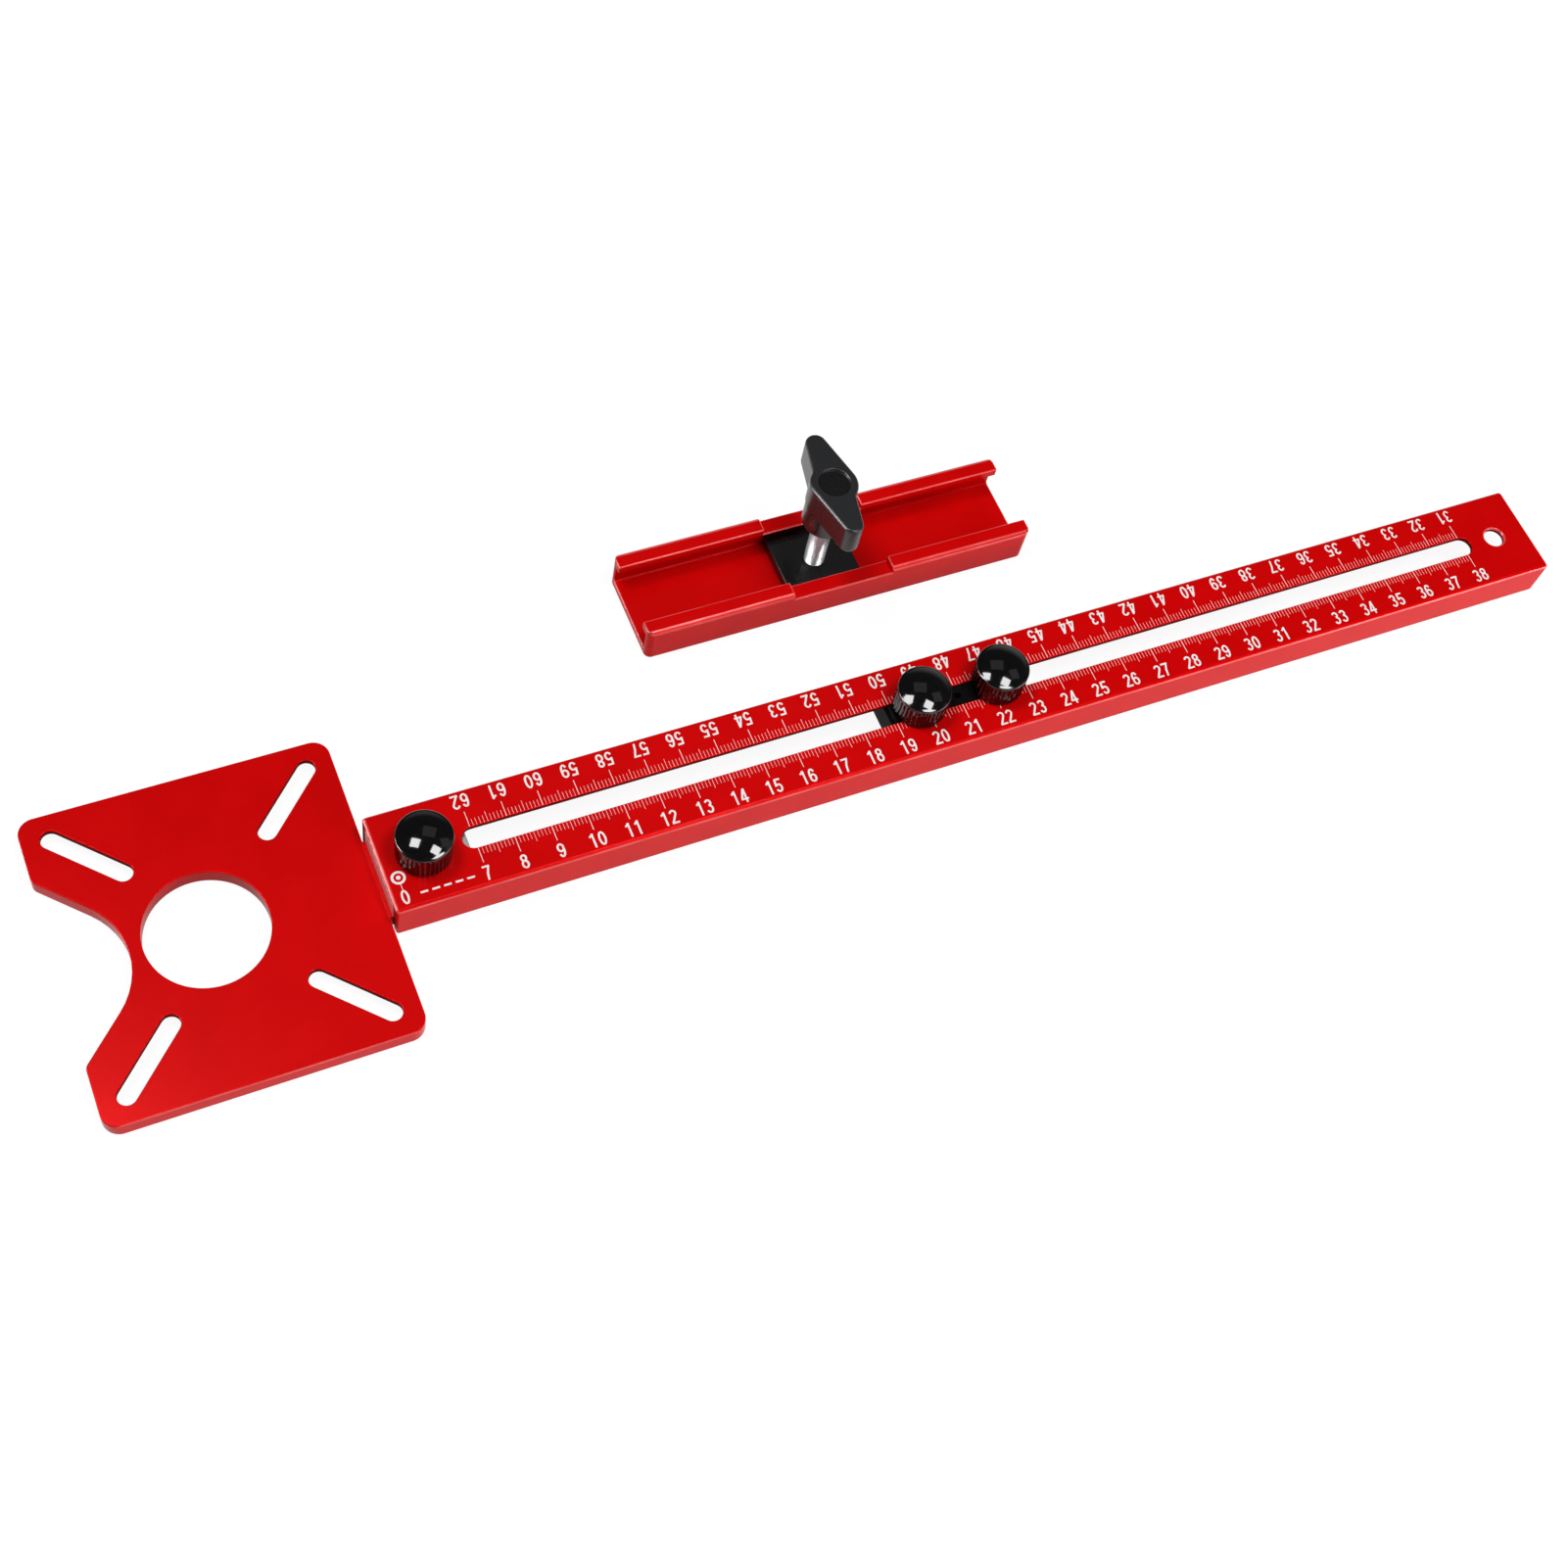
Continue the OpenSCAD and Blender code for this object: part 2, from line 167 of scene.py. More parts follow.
def noise(tree, size, detail=2, stretch=(1, 1, 1)):
    """Noise on the piece's own coordinates, its grains of one size and drawn out by stretch."""
    place = tree.nodes.new("ShaderNodeTexCoord")
    mapping = tree.nodes.new("ShaderNodeMapping")
    mapping.inputs["Scale"].default_value = [1 / (size * s) for s in stretch]
    texture = tree.nodes.new("ShaderNodeTexNoise")
    texture.inputs["Scale"].default_value = 1
    texture.inputs["Detail"].default_value = detail
    tree.links.new(place.outputs["Object"], mapping.inputs["Vector"])
    tree.links.new(mapping.outputs["Vector"], texture.inputs["Vector"])
    return texture.outputs["Fac"]


def tint(tree, pattern, dark, light, socket):
    """Runs a pattern from a dark to a light colour."""
    ramp = tree.nodes.new("ShaderNodeValToRGB")
    ramp.color_ramp.elements[0].position = NOISE_LOW
    ramp.color_ramp.elements[0].color = dark
    ramp.color_ramp.elements[1].position = NOISE_HIGH
    ramp.color_ramp.elements[1].color = light
    tree.links.new(pattern, ramp.inputs["Fac"])
    tree.links.new(ramp.outputs["Color"], socket)


def spread(tree, pattern, low, high, socket):
    """Runs a pattern from a low to a high value."""
    span = tree.nodes.new("ShaderNodeMapRange")
    span.inputs["From Min"].default_value = NOISE_LOW
    span.inputs["From Max"].default_value = NOISE_HIGH
    span.inputs["To Min"].default_value = low
    span.inputs["To Max"].default_value = high
    tree.links.new(pattern, span.inputs["Value"])
    tree.links.new(span.outputs["Result"], socket)


def emboss(tree, pattern, height, strength, shader):
    """Raises a pattern on the surface."""
    bump = tree.nodes.new("ShaderNodeBump")
    bump.inputs["Strength"].default_value = strength
    bump.inputs["Distance"].default_value = height
    tree.links.new(pattern, bump.inputs["Height"])
    tree.links.new(bump.outputs["Normal"], shader.inputs["Normal"])


def marked(tree, layer):
    """The mark that a face carries in a layer."""
    mark = tree.nodes.new("ShaderNodeAttribute")
    mark.attribute_name = layer
    return mark.outputs["Fac"]


def recolour(tree, share, colour, socket):
    """Mixes a share of another colour into whatever runs into a socket."""
    mix = tree.nodes.new("ShaderNodeMixRGB")
    mix.inputs["Color2"].default_value = colour
    tree.links.new(share, mix.inputs["Fac"])
    tree.links.new(socket.links[0].from_socket, mix.inputs["Color1"])
    tree.links.new(mix.outputs["Color"], socket)


def roughen(tree, share, rough, socket):
    """Raises the roughness that runs into a socket to at least a share of rough."""
    part = tree.nodes.new("ShaderNodeMath")
    part.operation = "MULTIPLY"
    part.inputs[1].default_value = rough
    tree.links.new(share, part.inputs[0])
    most = tree.nodes.new("ShaderNodeMath")
    most.operation = "MAXIMUM"
    tree.links.new(part.outputs[0], most.inputs[0])
    tree.links.new(socket.links[0].from_socket, most.inputs[1])
    tree.links.new(most.outputs[0], socket)


def red_anodised(name, stretch):
    """Satin red: soft clouds in the dye, and a fine grain that stretch draws out along an extrusion.
    Marked edges get painted highlight: a paler pink and a clear coat. Marked walls and foot roundings get
    painted shade: a dark red, made rougher too."""
    material, tree, shader = new_material(name, metallic=0.1, specular=0.05)
    dye, rough = shader.inputs["Base Color"], shader.inputs["Roughness"]
    tint(tree, noise(tree, RED_CLOUD, 3), RED_DEEP, RED_BRIGHT, dye)
    grain = noise(tree, RED_GRAIN, 2, stretch)
    spread(tree, grain, *RED_ROUGH, rough)
    emboss(tree, grain, RED_GRAIN_H, RED_GRAIN_BUMP, shader)
    # Painted shade: marked walls and foot roundings are darkened to a deep red and made rougher
    recolour(tree, marked(tree, "painted_shade"), RED_PAINTED_SHADE, dye)
    roughen(tree, marked(tree, "painted_shade"), PAINTED_SHADE_ROUGH, rough)
    # Painted highlight: marked edge faces get a paler pink, in patches, and a clear coat
    highlight_share = tree.nodes.new("ShaderNodeMath")
    highlight_share.operation = "MULTIPLY"
    tree.links.new(marked(tree, "painted_highlight"), highlight_share.inputs[0])
    spread(tree, noise(tree, HIGHLIGHT_PATCH, 2), LEAST_HIGHLIGHT, 1, highlight_share.inputs[1])
    recolour(tree, highlight_share.outputs[0], RED_PAINTED_HIGHLIGHT, dye)
    tree.links.new(highlight_share.outputs[0], shader.inputs["Coat Weight"])
    shader.inputs["Coat Roughness"].default_value = HIGHLIGHT_COAT_ROUGH
    return material


def plate_dullness(at):
    """How much painted shade a wall of the plate gets: full in the slanted slots, less in the bit hole."""
    if at.xy.length < BIT_HOLE_REACH:
        return BIT_HOLE_SHADE
    along = abs(at.x - PLATE_MID_X)
    beside = abs(abs(at.y) - along - SCREW_SLOT_LEAN)
    return 1 if beside < SCREW_SLOT_REACH and along < SCREW_SLOT_END else 0


plate_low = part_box("base_plate")[0]
plate_bm = cad_copy("base_plate")
plate_edges = round_off(plate_bm, corners_of(plate_bm), PLATE_EDGE)
# Painted highlight on the plate's front edge roundings
rub(plate_bm, [f for f in plate_edges if f.calc_center_median().y < plate_low.y + PLATE_EDGE])
# Painted shade in the slanted slots, partly in the bit hole, and on the roundings at the foot
leave_dull(plate_bm, plate_dullness)
plate = new_piece(plate_bm, "base_plate_finished", red_anodised("Red anodised, blasted", BLASTED))
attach(plate, "jig")
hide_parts("base_plate")

# Joint block and its two countersunk screws: the block of bare aluminium on the plate's tongue, sawn and
# milled, fills the end of the arm. The screws of bright plated steel hold it from beneath.
BLOCK_EDGE = 0.25 * MM
SCREW_EDGE = 0.12 * MM
ALUMINIUM_DARK = (0.42, 0.42, 0.43, 1)
ALUMINIUM_LIGHT = (0.58, 0.58, 0.59, 1)
ALUMINIUM_ROUGH = 0.3
MILLED_ACROSS = (1, 40, 1)
STEEL_DARK = (0.74, 0.74, 0.76, 1)
STEEL_LIGHT = (0.88, 0.88, 0.90, 1)
STEEL_ROUGH = 0.26
DRAWN_UPRIGHT = (1, 1, 30)
TOOL_MARK = 0.25 * MM
TOOL_MARK_H = 0.008 * MM
TOOL_MARK_BUMP = 0.3
TOOL_MARK_ROUGH = 0.12


def bare_metal(name, dark, light, rough, stretch):
    """Bare metal with fine tool marks along one direction."""
    material, tree, shader = new_material(name, metallic=1, specular=0.5)
    marks = noise(tree, TOOL_MARK, 3, stretch)
    tint(tree, marks, dark, light, shader.inputs["Base Color"])
    spread(tree, marks, rough, rough + TOOL_MARK_ROUGH, shader.inputs["Roughness"])
    emboss(tree, marks, TOOL_MARK_H, TOOL_MARK_BUMP, shader)
    return material


block_bm = cad_copy("joint_block")
round_off(block_bm, corners_of(block_bm), BLOCK_EDGE)
bare_aluminium = bare_metal(
    "Bare aluminium, milled", ALUMINIUM_DARK, ALUMINIUM_LIGHT, ALUMINIUM_ROUGH, MILLED_ACROSS
)
block = new_piece(block_bm, "joint_block_finished", bare_aluminium)
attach(block, "jig")
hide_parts("joint_block")

bright_steel = bare_metal("Bright plated steel", STEEL_DARK, STEEL_LIGHT, STEEL_ROUGH, DRAWN_UPRIGHT)
screws_bm = cad_copy("block_screws")
round_off(screws_bm, corners_of(screws_bm), SCREW_EDGE, 2)
screws = new_piece(screws_bm, "block_screws_finished", bright_steel)
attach(screws, "jig")
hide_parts("block_screws")

# Ruler arm: an upside-down channel of extruded aluminium, slotted for the slider, drilled at each end,
# its ends filed round, and anodised red with the extrusion's fine lines still showing.
ARM_END_EDGE = 0.8 * MM
ARM_EDGE = 0.32 * MM
ARM_SLOT_REACH = 3.4 * MM
END_HOLE_X = 391.7 * MM
END_HOLE_R = 3 * MM
END_HOLE_EDGE = 0.55 * MM
TOP_BAND = 1 * MM
RIM_BAND = 0.1 * MM
NEAR = 0.01 * MM
DRAWN_ALONG = (20, 1, 1)

arm_low, arm_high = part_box("ruler_arm")
arm_bm = cad_copy("ruler_arm")


def at_arm_end(edge):
    """True for an outer edge of one of the arm's end faces, above its foot."""
    ends = [v.co for v in edge.verts]
    return any(
        all(abs(c.x - x) < NEAR for c in ends) for x in (arm_low.x, arm_high.x)
    ) and (
        all(c.z > arm_high.z - TOP_BAND for c in ends)
        or all(abs(abs(c.y) - arm_high.y) < NEAR for c in ends)
    )


def at_end_hole(edge):
    """True for the upper rim of the hole at the arm's far end."""
    return all(
        math.hypot(v.co.x - END_HOLE_X, v.co.y) < END_HOLE_R + RIM_BAND
        and v.co.z > arm_high.z - RIM_BAND
        for v in edge.verts
    )


arm_ends = round_off(arm_bm, [e for e in corners_of(arm_bm) if at_arm_end(e)], ARM_END_EDGE, 4)
# Painted highlight on the rounding of the near end, the rim of the far end's hole and the front edges
rub(arm_bm, [f for f in arm_ends if f.calc_center_median().x < arm_low.x + ARM_END_EDGE])
rub(arm_bm, round_off(arm_bm, [e for e in corners_of(arm_bm) if at_end_hole(e)], END_HOLE_EDGE, 2))
arm_edges = round_off(arm_bm, corners_of(arm_bm), ARM_EDGE)
rub(arm_bm, [f for f in arm_edges if f.calc_center_median().y < arm_low.y + ARM_EDGE])
# Painted shade on the slot's walls and on the roundings at the foot
leave_dull(arm_bm, lambda at: 1 if abs(at.y) < ARM_SLOT_REACH else 0)
arm = new_piece(arm_bm, "ruler_arm_finished", red_anodised("Red anodised, drawn", DRAWN_ALONG))
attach(arm, "jig")
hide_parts("ruler_arm")

# Printed scale: white ink on the arm's top. The marks run beside the slot, the numbers count the
# centimetres from the bit's axis, and those of the far row count back for the arm turned end for end.
INK_T = 0.03 * MM
INK_WHITE = (0.93, 0.88, 0.87, 1)
INK_WORN = (0.86, 0.78, 0.77, 1)
INK_PATCH = 0.6 * MM
INK_ROUGH = (0.45, 0.6)
FIRST_CM, LAST_CM = 7, 38
BACK_SUM = 69
MARK_START = 3.25 * MM
MARK_ENDS = {1: 5.3 * MM, 5: 6.2 * MM, 10: 7.7 * MM}
MARK_WIDTHS = {1: 0.072 * MM, 5: 0.085 * MM, 10: 0.16 * MM}
NUMBER_H = 4.2 * MM
NUMBER_STEP = 0.6
NUMBER_PEN = 0.128
NUMBER_Y = {"front": -10.75 * MM, "back": 10.95 * MM}
ZERO_X = 48.2 * MM
TARGET_Y = -5.0 * MM
TARGET_D = 3.8 * MM
TARGET_LINE = 0.65 * MM
TARGET_DOT = 1.2 * MM
TARGET_STEPS = 48
DASHES = 5
DASH_X0, DASH_X1 = 52.2 * MM, 66.6 * MM
DASH_L, DASH_W = 2.0 * MM, 0.55 * MM

arm_top = arm_high.z


def print_bar(bm, x0, x1, y0, y1):
    """One straight mark of ink on the arm's top."""
    bar = bmesh.ops.create_cube(bm, size=1)["verts"]
    bmesh.ops.scale(bm, verts=bar, vec=(x1 - x0, y1 - y0, INK_T))
    bmesh.ops.translate(bm, verts=bar, vec=((x0 + x1) / 2, (y0 + y1) / 2, arm_top + INK_T / 2))


def bow(middle, across, up, start, stop, steps=10):
    """Points of an upright oval's arc at a height, between two directions in degrees."""
    turns = [math.radians(start + (stop - start) * i / steps) for i in range(steps + 1)]
    return [(across * math.cos(t), middle + up * math.sin(t)) for t in turns]


# The strokes of each digit, on a body one unit high about its own middle line
DIGITS = {
    "0": [bow(0.5, 0.178, 0.427, -90, 270, 20)],
    "1": [[(0.05, 0), (0.05, 1)], [(0.07, 0.95), (-0.15, 0.76)]],
    "2": [
        bow(0.735, 0.175, 0.19, 170, -28),
        [(0.165, 0.66), (-0.17, 0.1)],
        [(-0.24, 0.073), (0.25, 0.073)],
    ],
    "3": [bow(0.74, 0.165, 0.187, 160, -90), bow(0.313, 0.178, 0.24, 90, -160)],
    "4": [[(0.09, 0), (0.09, 1)], [(0.06, 0.95), (-0.19, 0.28)], [(-0.25, 0.27), (0.25, 0.27)]],
    "5": [
        [(0.22, 0.927), (-0.17, 0.927)],
        [(-0.12, 0.96), (-0.16, 0.46)],
        bow(0.325, 0.178, 0.25, 135, -160, 14),
    ],
    "6": [bow(0.315, 0.178, 0.243, -180, 180, 16), bow(0.5, 0.178, 0.427, 190, 35)],
    "7": [[(-0.24, 0.927), (0.23, 0.927)], [(0.17, 0.93), (0.0, 0.45), (-0.06, 0)]],
    "8": [bow(0.74, 0.155, 0.187, -90, 270, 16), bow(0.31, 0.178, 0.237, -90, 270, 16)],
}
DIGITS["9"] = [[(-x, 1 - y) for x, y in stroke] for stroke in DIGITS["6"]]


def print_number(bm, number, x, y, turn):
    """A number of ink, centred at x and y: flat strokes of a broad pen."""
    curve = bpy.data.curves.new("number", "CURVE")
    curve.dimensions = "3D"
    curve.bevel_depth = NUMBER_PEN / 2
    curve.bevel_resolution = 0
    curve.use_fill_caps = True
    digits = str(number)
    for place, digit in enumerate(digits):
        shift = (place - (len(digits) - 1) / 2) * NUMBER_STEP
        for stroke in DIGITS[digit]:
            spline = curve.splines.new("POLY")
            spline.points.add(len(stroke) - 1)
            for point, (across, up) in zip(spline.points, stroke):
                point.co = (across + shift, up - 0.5, 0, 1)
    ink = bpy.data.objects.new("number", curve)
    mesh = bpy.data.meshes.new_from_object(ink)
    mesh.transform(
        Matrix.Translation((x, y, arm_top + INK_T / 2))
        @ Matrix.Rotation(turn, 4, "Z")
        @ Matrix.Diagonal((NUMBER_H, NUMBER_H, INK_T / NUMBER_PEN, 1))
    )
    bm.from_mesh(mesh)
    bpy.data.objects.remove(ink)
    bpy.data.curves.remove(curve)
    bpy.data.meshes.remove(mesh)


marks_bm = bmesh.new()
for mm in range(10 * FIRST_CM, 10 * LAST_CM + 1):
    kind = 10 if mm % 10 == 0 else 5 if mm % 5 == 0 else 1
    half = MARK_WIDTHS[kind] / 2
    for side in (-1, 1):
        near, far = sorted((side * MARK_START, side * MARK_ENDS[kind]))
        print_bar(marks_bm, mm * MM - half, mm * MM + half, near, far)
dash_step = (DASH_X1 - DASH_X0 - DASH_L) / (DASHES - 1)
for i in range(DASHES):
    start = DASH_X0 + i * dash_step
    dash_y = NUMBER_Y["front"]
    print_bar(marks_bm, start, start + DASH_L, dash_y - DASH_W / 2, dash_y + DASH_W / 2)
print_bar(
    marks_bm, ZERO_X - MARK_WIDTHS[10] / 2, ZERO_X + MARK_WIDTHS[10] / 2,
    NUMBER_Y["front"] + NUMBER_H / 2, TARGET_Y - TARGET_D / 2,
)
target_bm = bmesh.new()
target_at = Matrix.Translation((ZERO_X, TARGET_Y, arm_top + INK_T))
for ring_r in (TARGET_D / 2, TARGET_D / 2 - TARGET_LINE):
    bmesh.ops.create_circle(target_bm, segments=TARGET_STEPS, radius=ring_r, matrix=target_at)
bmesh.ops.bridge_loops(target_bm, edges=target_bm.edges[:])
bmesh.ops.create_circle(
    target_bm, segments=TARGET_STEPS // 2, radius=TARGET_DOT / 2, cap_ends=True, matrix=target_at
)
bmesh.ops.recalc_face_normals(target_bm, faces=target_bm.faces)
bmesh.ops.solidify(target_bm, geom=target_bm.faces[:], thickness=INK_T)

numbers_bm = bmesh.new()
print_number(numbers_bm, 0, ZERO_X, NUMBER_Y["front"], 0)
for cm in range(FIRST_CM, LAST_CM + 1):
    print_number(numbers_bm, cm, 10 * cm * MM, NUMBER_Y["front"], 0)
    print_number(numbers_bm, BACK_SUM - cm, 10 * cm * MM, NUMBER_Y["back"], math.pi)

white_ink, ink_tree, ink_shader = new_material("White ink", metallic=0, specular=0.3)
ink_cover = noise(ink_tree, INK_PATCH, 3)
tint(ink_tree, ink_cover, INK_WORN, INK_WHITE, ink_shader.inputs["Base Color"])
spread(ink_tree, ink_cover, *INK_ROUGH, ink_shader.inputs["Roughness"])
for name, bm in (("scale_marks", marks_bm), ("scale_target", target_bm), ("scale_numbers", numbers_bm)):
    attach(new_piece(bm, name, white_ink), "jig")

# Round knobs and their studs: three turned knobs of glossy black plastic, finely fluted for grip under a
# polished dome. Each is moulded on a threaded stud of bright plated steel.
KNOB_FLUTES = 40
STEPS_PER_FLUTE = 6
FLUTE_DEPTH = 0.36 * MM
FLUTE_TOP = 0.95 * MM
FLUTE_RUN_OUT = 0.3 * MM
FLUTE_START = 0.1 * MM
DOME_H = 1.6 * MM
DOME_STEPS = 14
KNOB_CROWN = 0.5 * MM
CROWN_FROM = 65
KNOB_FOOT = 0.4 * MM
GRIP_REACH = 1.2 * KNOB_FOOT
STUD_PITCH = 0.8 * MM
THREAD_STEPS = 24
THREAD_SHAPE = [(0, 0), (0, 0.13), (1, 0.44), (1, 0.56), (0, 0.87), (0, 1)]
THREAD_DEPTH = 0.6
THREAD_WELD = 0.005 * MM
SEAM = 0.001 * MM
KNOB_BLACK = (0.0018, 0.0019, 0.0020, 1)
KNOB_SCUFFED = (0.0032, 0.0033, 0.0034, 1)
KNOB_SCUFF = 1.5 * MM
KNOB_ROUGH = (0.05, 0.09)


def arc(centre_r, centre_z, radius, start, stop, steps=6):
    """Points of a round arc, as radius and height, between two directions in degrees."""
    return [(centre_r + out, z) for out, z in bow(centre_z, radius, radius, start, stop, steps)]


def turned(points, steps):
    """A bmesh spun about Z from a profile of radius and height, closed and facing outwards."""
    bm = bmesh.new()
    verts = [bm.verts.new((r, 0, z)) for r, z in points]
    edges = [bm.edges.new(pair) for pair in zip(verts, verts[1:])]
    bmesh.ops.spin(
        bm, geom=verts + edges, axis=(0, 0, 1), cent=(0, 0, 0),
        angle=2 * math.pi, steps=steps, use_merge=True,
    )
    bmesh.ops.remove_doubles(bm, verts=bm.verts, dist=SEAM)
    bmesh.ops.recalc_face_normals(bm, faces=bm.faces)
    return bm


def threaded(radius, pitch, low, high):
    """A bmesh of a threaded rod about Z: one turn's profile swept along its helix, and cut off flat."""
    bm = bmesh.new()
    root = radius - THREAD_DEPTH * pitch
    verts = [
        bm.verts.new((root + out * (radius - root), 0, low + (up - 2) * pitch)) for out, up in THREAD_SHAPE
    ]
    edges = [bm.edges.new(pair) for pair in zip(verts, verts[1:])]
    turns = math.ceil((high - low) / pitch) + 3
    bmesh.ops.spin(
        bm, geom=verts + edges, axis=(0, 0, 1), cent=(0, 0, 0), dvec=(0, 0, pitch / THREAD_STEPS),
        angle=2 * math.pi * turns, steps=turns * THREAD_STEPS,
    )
    bmesh.ops.remove_doubles(bm, verts=bm.verts, dist=THREAD_WELD)
    for height, outwards in ((low, -1), (high, 1)):
        cut = bmesh.ops.bisect_plane(
            bm, geom=bm.verts[:] + bm.edges[:] + bm.faces[:], dist=SEAM,
            plane_co=(0, 0, height), plane_no=(0, 0, outwards), clear_outer=True,
        )
        rim = [e for e in cut["geom_cut"] if isinstance(e, bmesh.types.BMEdge)]
        bmesh.ops.contextual_create(bm, geom=rim)
    bmesh.ops.recalc_face_normals(bm, faces=bm.faces)
    return bm


def knob_profile(outer, height, stud_r, stud_seat):
    """From the top of the dome over the rim and down to the stud."""
    rim = outer - KNOB_CROWN
    shoulder = height - DOME_H
    ball = (rim ** 2 + DOME_H ** 2) / (2 * DOME_H)
    dome = arc(0, height - ball, ball, 90, math.degrees(math.asin((ball - DOME_H) / ball)), DOME_STEPS)
    crown = arc(rim, shoulder - KNOB_CROWN, KNOB_CROWN, CROWN_FROM, 0, 4)
    side = [(outer, shoulder - FLUTE_TOP), (outer, shoulder - FLUTE_TOP - FLUTE_RUN_OUT)]
    foot = arc(outer - KNOB_FOOT, KNOB_FOOT, KNOB_FOOT, 0, -90, 3)
    seat = [(stud_r, 0), (stud_r, stud_seat), (0, stud_seat)]
    return [*dome, *crown, *side, *foot, *seat]


def flute(bm, outer, shoulder):
    """Presses the flutes into a knob's side: round grooves between thin ridges, below a plain band."""
    for v in bm.verts:
        reach = math.hypot(v.co.x, v.co.y)
        if reach > outer - GRIP_REACH and v.co.z < shoulder - FLUTE_TOP - FLUTE_START:
            wave = abs(math.sin(0.5 * KNOB_FLUTES * math.atan2(v.co.y, v.co.x)))
            share = 1 - FLUTE_DEPTH * wave / reach
            v.co.x *= share
            v.co.y *= share


black_knob, knob_tree, knob_shader = new_material("Glossy black plastic", metallic=0, specular=0.6)
scuffs = noise(knob_tree, KNOB_SCUFF, 4)
tint(knob_tree, scuffs, KNOB_BLACK, KNOB_SCUFFED, knob_shader.inputs["Base Color"])
spread(knob_tree, scuffs, *KNOB_ROUGH, knob_shader.inputs["Roughness"])

for body, knob_node, stud_node in (
    ("lock_screw", "lock_knob", "lock_stud"),
    ("clamp_screw_left", "clamp_knob_left", "clamp_stud_left"),
    ("clamp_screw_right", "clamp_knob_right", "clamp_stud_right"),
):
    knob_low, knob_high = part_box(knob_node)
    stud_low, stud_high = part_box(stud_node)
    axis = (stud_low + stud_high) / 2
    knob_r = (knob_high.x - knob_low.x) / 2
    knob_h = knob_high.z - knob_low.z
    stud_r = (stud_high.x - stud_low.x) / 2
    knob_bm = turned(
        knob_profile(knob_r, knob_h, stud_r, stud_high.z - knob_low.z), KNOB_FLUTES * STEPS_PER_FLUTE
    )
    flute(knob_bm, knob_r, knob_h - DOME_H)
    bmesh.ops.translate(knob_bm, verts=knob_bm.verts, vec=(axis.x, axis.y, knob_low.z))
    knob = new_piece(knob_bm, knob_node + "_finished", black_knob)
    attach(knob, body)
    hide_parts(knob_node)
    stud_bm = threaded(stud_r, STUD_PITCH, stud_low.z, stud_high.z)
    bmesh.ops.translate(stud_bm, verts=stud_bm.verts, vec=(axis.x, axis.y, 0))
    stud = new_piece(stud_bm, stud_node + "_finished", bright_steel)
    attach(stud, body)
    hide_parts(stud_node)

# Pivot slider: the block under the arm's top wall, with a rib up into the slot and the small hole for the
# pivot pin. It is milled aluminium, anodised matt black.
SLIDER_EDGE = 0.2 * MM
SLIDER_DARK = (0.0025, 0.0026, 0.0026, 1)
SLIDER_LIGHT = (0.0045, 0.0046, 0.0046, 1)
SLIDER_ROUGH = (0.42, 0.55)
SLIDER_GRAIN = 0.3 * MM
SLIDER_GRAIN_H = 0.01 * MM
SLIDER_GRAIN_BUMP = 0.4

black_slider, slider_tree, slider_shader = new_material("Black anodised, matt", metallic=0, specular=0.03)
slider_grain = noise(slider_tree, SLIDER_GRAIN, 2)
tint(slider_tree, slider_grain, SLIDER_DARK, SLIDER_LIGHT, slider_shader.inputs["Base Color"])
spread(slider_tree, slider_grain, *SLIDER_ROUGH, slider_shader.inputs["Roughness"])
emboss(slider_tree, slider_grain, SLIDER_GRAIN_H, SLIDER_GRAIN_BUMP, slider_shader)
slider_bm = cad_copy("pivot_slider")
round_off(slider_bm, corners_of(slider_bm), SLIDER_EDGE)
slider = new_piece(slider_bm, "pivot_slider_finished", black_slider)
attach(slider, "slider")
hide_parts("pivot_slider")

# Edge fence: a short lipped channel that lies beside the arm, with a notch across its lips where the arm
# crosses it. It is extruded aluminium, its lips rounded in the die, sawn to length and anodised red.
FENCE_EDGE = 0.38 * MM
FENCE_FILLET = 0.8 * MM
FENCE_FLOOR = 2.4 * MM

fence_bm = cad_copy("fence_channel")
bed_corners = [
    e for e in fence_bm.edges
    if e.is_manifold and not e.is_convex and all(abs(v.co.z - FENCE_FLOOR) < NEAR for v in e.verts)
]
round_off(fence_bm, bed_corners, FENCE_FILLET, 4)
# Painted highlight on every rounded edge of the fence that looks up
rub(fence_bm, round_off(fence_bm, corners_of(fence_bm), FENCE_EDGE))
# Painted shade only on the roundings at the foot
leave_dull(fence_bm, lambda at: 0)
fence = new_piece(fence_bm, "fence_channel_finished", red_anodised("Red anodised, fence", DRAWN_ALONG))
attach(fence, "fence")
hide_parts("fence_channel")

# Sliding nut: a square of blackened steel that runs in the fence under its lips. It is sawn from bar,
# its edges broken, and tapped for the wing screw.
NUT_EDGE = 0.3 * MM
NUT_DARK = (0.0085, 0.0085, 0.0092, 1)
NUT_LIGHT = (0.0115, 0.0115, 0.0125, 1)
NUT_ROUGH = (0.22, 0.28)
NUT_STREAK = 0.5 * MM
SAWN_ACROSS = (1, 12, 1)

black_nut, nut_tree, nut_shader = new_material("Blackened steel", metallic=0.2, specular=0.5)
nut_streaks = noise(nut_tree, NUT_STREAK, 2, SAWN_ACROSS)
tint(nut_tree, nut_streaks, NUT_DARK, NUT_LIGHT, nut_shader.inputs["Base Color"])
spread(nut_tree, nut_streaks, *NUT_ROUGH, nut_shader.inputs["Roughness"])
nut_bm = cad_copy("slide_nut")
round_off(nut_bm, corners_of(nut_bm), NUT_EDGE)
nut = new_piece(nut_bm, "slide_nut_finished", black_nut)
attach(nut, "nut")
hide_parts("slide_nut")

